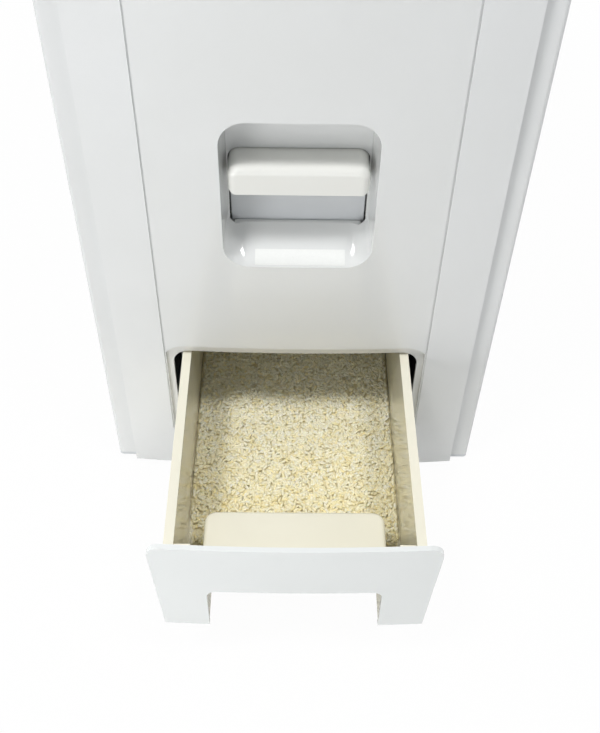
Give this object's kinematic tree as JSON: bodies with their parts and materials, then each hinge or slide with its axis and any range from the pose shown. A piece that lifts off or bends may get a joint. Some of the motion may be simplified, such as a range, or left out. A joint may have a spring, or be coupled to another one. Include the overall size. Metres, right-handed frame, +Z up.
{
  "type": "rice dispenser with drawer",
  "caption": "Free-standing rice bin with a lever-worked metering drum, a pull-out catch drawer under an arched opening and a hinged lid over the hopper.",
  "frame": {"origin": "on the table, under the middle of the body (drawer not counted), on the underside of the middle foot", "axes": "+X to the right seen from the front, +Y from the front to the back, +Z up; the drawer slides out towards -Y"},
  "size_m": [0.28, 0.5433, 0.4915],
  "materials": {
    "casing_white": "gloss",
    "frame_white": "gloss",
    "panel_white": "gloss",
    "trim_white": "gloss",
    "lever_white": "gloss",
    "lid_white": "gloss",
    "drawer_front_white": "gloss",
    "drawer_box_white": "gloss",
    "inner_plastic": "satin",
    "hopper_plastic": "satin",
    "meter_plastic": "satin",
    "drum_plastic": "satin",
    "glide_plastic": "satin",
    "label_white": "matte",
    "guide_grey": "satin",
    "rubber_grey": "matte",
    "seal_white": "matte",
    "steel": "brushed"
  },
  "bodies": {
    "housing": {"feet": "rubber_grey", "base_plate": "inner_plastic", "base_screws": "steel", "casing": "casing_white", "front_frame": "frame_white", "centre_panel": "panel_white", "opening_trim": "trim_white", "label": "label_white", "drawer_bay": "inner_plastic", "hold_down_rails": "inner_plastic", "deck": "inner_plastic", "drop_chute": "inner_plastic", "meter_lower": "meter_plastic", "meter_upper": "meter_plastic", "meter_screws": "steel", "throat_gasket": "seal_white", "hopper": "hopper_plastic", "top_collar": "lid_white", "hinge_pins": "steel", "lever_guides": "guide_grey"},
    "lever": {"press_bar": "lever_white", "lever_carriage": "inner_plastic", "lever_screws": "steel", "lever_springs": "steel"},
    "drum": {"metering_drum": "drum_plastic", "drum_shaft": "steel", "drum_pinions": "drum_plastic"},
    "lid": {"lid": "lid_white", "lid_seal": "seal_white"},
    "drawer": {"drawer_front": "drawer_front_white", "drawer_box": "drawer_box_white", "drawer_screws": "steel", "drawer_glides": "glide_plastic"}
  },
  "joints": [
    {"name": "drawer_slide", "type": "slide", "parent": "housing", "child": "drawer", "axis": [0, -1, 0], "range_m": [-0.1625, 0.012]},
    {"name": "lever_press", "type": "slide", "parent": "housing", "child": "lever", "axis": [0, 0, -1], "range_m": [0, 0.03], "stiffness_N_per_m": 300, "springref_m": -0.012, "deforming": ["lever_springs"]},
    {"name": "drum_turn", "type": "hinge", "parent": "housing", "child": "drum", "pos_m": [0, -0.125, 0.177], "axis": [1, 0, 0], "range_deg": [0, 164]},
    {"name": "lid_hinge", "type": "hinge", "parent": "housing", "child": "lid", "pos_m": [0, 0.176, 0.4823], "axis": [-1, 0, 0], "range_deg": [0, 100]}
  ],
  "couplings": [
    {"joint": "drum_turn", "follows": "lever_press", "rad_per_m": 95.238}
  ]
}
